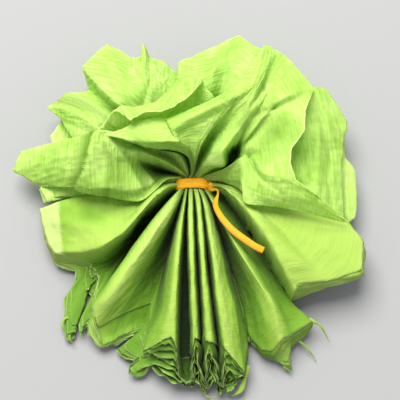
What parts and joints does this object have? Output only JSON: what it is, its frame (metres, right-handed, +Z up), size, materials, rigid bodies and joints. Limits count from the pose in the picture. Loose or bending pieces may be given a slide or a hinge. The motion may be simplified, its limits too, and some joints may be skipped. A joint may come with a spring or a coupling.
{
  "type": "crepe paper flower",
  "caption": "Half-opened paper flower: green crepe sheets pleated together, tied at the waist with a narrow orange strip, one side pulled into petals.",
  "frame": {"origin": "on the table, straight below the middle of the tie, on the flat underside of the tie's loop", "axes": "+Z up from the table, +Y towards the opened petals, -Y towards the pleats that are still nested, +X to the side of the knot"},
  "size_m": [0.1817, 0.1845, 0.0593],
  "materials": {
    "crepe_top": "matt crepe, fine wrinkles across the strip",
    "crepe": "matt crepe, fine wrinkles across the strip",
    "tie": "matt strip, twisted at the knot"
  },
  "bodies": {
    "root": {"crepe_sheet_1": "crepe_top", "crepe_sheet_2": "crepe", "crepe_sheet_3": "crepe", "crepe_sheet_4": "crepe", "crepe_sheet_5": "crepe", "crepe_sheet_6": "crepe", "crepe_sheet_7": "crepe", "crepe_sheet_8": "crepe", "tie_band": "tie"}
  },
  "joints": []
}
